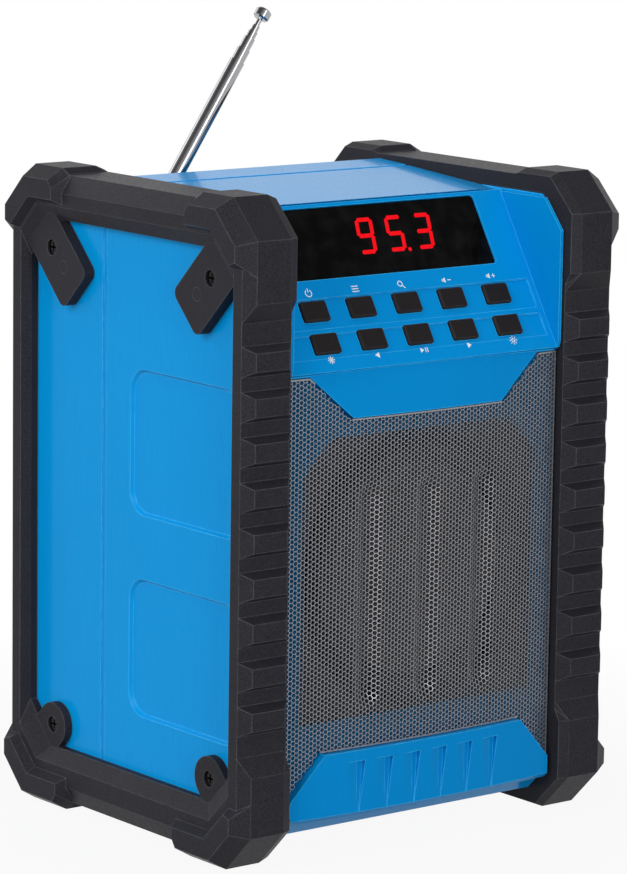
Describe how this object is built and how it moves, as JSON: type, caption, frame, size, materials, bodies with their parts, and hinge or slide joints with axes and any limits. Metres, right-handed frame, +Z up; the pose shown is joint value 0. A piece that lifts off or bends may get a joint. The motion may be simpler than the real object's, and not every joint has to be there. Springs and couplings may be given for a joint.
{
  "type": "jobsite radio",
  "caption": "Rugged jobsite radio: blue casing between dark ribbed ring guards, tilted key panel with red digit display, perforated speaker grille and telescopic antenna.",
  "frame": {"origin": "on the ground plane, midway between the two guards and midway from front to back", "axes": "+X to the right as the front is faced, -Y out of the front, +Z up"},
  "size_m": [0.1668, 0.1398, 0.2768],
  "materials": {
    "guard_rubber": "matte",
    "casing_blue": "satin",
    "panel_blue": "satin",
    "grille_steel": "satin",
    "window_black": "gloss",
    "key_rubber": "satin",
    "screw_black": "satin",
    "screw_steel": "satin",
    "antenna_chrome": "polished",
    "circuit_board": "satin",
    "black_plastic": "matte",
    "ferrite": "matte",
    "cone_paper": "matte",
    "soft_rubber": "matte",
    "coil_copper": "satin",
    "cell_wrap": "gloss",
    "nickel": "satin"
  },
  "bodies": {
    "casing": {"front_shell": "casing_blue", "rear_shell": "casing_blue", "shell_gasket": "soft_rubber", "control_fascia": "panel_blue", "lower_fascia": "panel_blue", "speaker_grille": "grille_steel", "display_window": "window_black", "display_module": "black_plastic", "control_board": "circuit_board", "key_switches": "black_plastic", "fascia_screws": "screw_steel", "board_screws": "screw_steel", "speaker_baffle": "black_plastic", "speaker_basket": "screw_black", "speaker_screws": "screw_black", "speaker_top_plate": "nickel", "speaker_magnet": "ferrite", "speaker_yoke": "nickel", "speaker_surround": "soft_rubber", "speaker_spider": "cone_paper", "battery_tray": "black_plastic", "battery_cells": "cell_wrap", "battery_contacts": "nickel", "port_plate": "black_plastic", "dc_inlet": "black_plastic", "usb_port": "nickel", "aux_jack": "black_plastic", "aux_nut": "nickel", "cover_pins": "screw_steel", "main_board": "circuit_board", "shell_screws": "screw_steel", "right_guard": "guard_rubber", "left_guard": "guard_rubber", "guard_screws": "screw_black"},
    "battery_door": {"battery_door": "casing_blue"},
    "port_flap": {"port_cover": "soft_rubber"},
    "cone": {"speaker_cone": "cone_paper", "voice_coil": "coil_copper", "dust_cap": "cone_paper"},
    "antenna_base": {"antenna_turret": "antenna_chrome", "antenna_retainer": "black_plastic", "antenna_pin": "screw_steel"},
    "antenna_mast": {"antenna_knuckle": "antenna_chrome", "antenna_tube_1": "antenna_chrome"},
    "mast_2": {"antenna_tube_2": "antenna_chrome"},
    "mast_3": {"antenna_tube_3": "antenna_chrome"},
    "mast_4": {"antenna_tube_4": "antenna_chrome"},
    "mast_5": {"antenna_tube_5": "antenna_chrome"},
    "mast_rod": {"antenna_rod": "antenna_chrome", "antenna_tip": "antenna_chrome"},
    "power_button": {"power_key": "key_rubber"},
    "mode_button": {"mode_key": "key_rubber"},
    "scan_button": {"scan_key": "key_rubber"},
    "volume_down_button": {"volume_down_key": "key_rubber"},
    "volume_up_button": {"volume_up_key": "key_rubber"},
    "preset_button": {"preset_key": "key_rubber"},
    "previous_button": {"previous_key": "key_rubber"},
    "play_button": {"play_key": "key_rubber"},
    "next_button": {"next_key": "key_rubber"},
    "dimmer_button": {"dimmer_key": "key_rubber"}
  },
  "joints": [
    {"name": "power_press", "type": "slide", "parent": "casing", "child": "power_button", "axis": [0, 0.8499, -0.527], "range_m": [0, 0.0008], "stiffness_N_per_m": 800, "springref_m": -0.0004},
    {"name": "mode_press", "type": "slide", "parent": "casing", "child": "mode_button", "axis": [0, 0.8499, -0.527], "range_m": [0, 0.0008], "stiffness_N_per_m": 800, "springref_m": -0.0004},
    {"name": "scan_press", "type": "slide", "parent": "casing", "child": "scan_button", "axis": [0, 0.8499, -0.527], "range_m": [0, 0.0008], "stiffness_N_per_m": 800, "springref_m": -0.0004},
    {"name": "volume_down_press", "type": "slide", "parent": "casing", "child": "volume_down_button", "axis": [0, 0.8499, -0.527], "range_m": [0, 0.0008], "stiffness_N_per_m": 800, "springref_m": -0.0004},
    {"name": "volume_up_press", "type": "slide", "parent": "casing", "child": "volume_up_button", "axis": [0, 0.8499, -0.527], "range_m": [0, 0.0008], "stiffness_N_per_m": 800, "springref_m": -0.0004},
    {"name": "preset_press", "type": "slide", "parent": "casing", "child": "preset_button", "axis": [0, 0.8499, -0.527], "range_m": [0, 0.0008], "stiffness_N_per_m": 800, "springref_m": -0.0004},
    {"name": "previous_press", "type": "slide", "parent": "casing", "child": "previous_button", "axis": [0, 0.8499, -0.527], "range_m": [0, 0.0008], "stiffness_N_per_m": 800, "springref_m": -0.0004},
    {"name": "play_press", "type": "slide", "parent": "casing", "child": "play_button", "axis": [0, 0.8499, -0.527], "range_m": [0, 0.0008], "stiffness_N_per_m": 800, "springref_m": -0.0004},
    {"name": "next_press", "type": "slide", "parent": "casing", "child": "next_button", "axis": [0, 0.8499, -0.527], "range_m": [0, 0.0008], "stiffness_N_per_m": 800, "springref_m": -0.0004},
    {"name": "dimmer_press", "type": "slide", "parent": "casing", "child": "dimmer_button", "axis": [0, 0.8499, -0.527], "range_m": [0, 0.0008], "stiffness_N_per_m": 800, "springref_m": -0.0004},
    {"name": "cone_stroke", "type": "slide", "parent": "casing", "child": "cone", "axis": [0, 1, 0], "range_m": [-0.0015, 0.0015], "stiffness_N_per_m": 2500},
    {"name": "battery_door_hinge", "type": "hinge", "parent": "casing", "child": "battery_door", "pos_m": [0, 0.0624, 0.0235], "axis": [-1, 0, 0], "range_deg": [0, 105]},
    {"name": "port_flap_hinge", "type": "hinge", "parent": "casing", "child": "port_flap", "pos_m": [-0.025, 0.0624, 0.1395], "axis": [1, 0, 0], "range_deg": [0, 160]},
    {"name": "antenna_swivel", "type": "hinge", "parent": "casing", "child": "antenna_base", "pos_m": [-0.0303, 0.04838, 0.20173], "axis": [0, 0.8499, 0.527], "range_deg": [-80, 30]},
    {"name": "antenna_tilt", "type": "hinge", "parent": "antenna_base", "child": "antenna_mast", "pos_m": [-0.0303, 0.05201, 0.20398], "axis": [0.781, 0.3291, -0.5308], "range_deg": [-60, 25]},
    {"name": "antenna_slide_1", "type": "slide", "parent": "antenna_mast", "child": "mast_2", "axis": [0.5621, 0, 0.8271], "range_m": [0, 0.05]},
    {"name": "antenna_slide_2", "type": "slide", "parent": "mast_2", "child": "mast_3", "axis": [0.5621, 0, 0.8271], "range_m": [0, 0.05]},
    {"name": "antenna_slide_3", "type": "slide", "parent": "mast_3", "child": "mast_4", "axis": [0.5621, 0, 0.8271], "range_m": [0, 0.05]},
    {"name": "antenna_slide_4", "type": "slide", "parent": "mast_4", "child": "mast_5", "axis": [0.5621, 0, 0.8271], "range_m": [0, 0.05]},
    {"name": "antenna_slide_5", "type": "slide", "parent": "mast_5", "child": "mast_rod", "axis": [0.5621, 0, 0.8271], "range_m": [0, 0.05]}
  ]
}
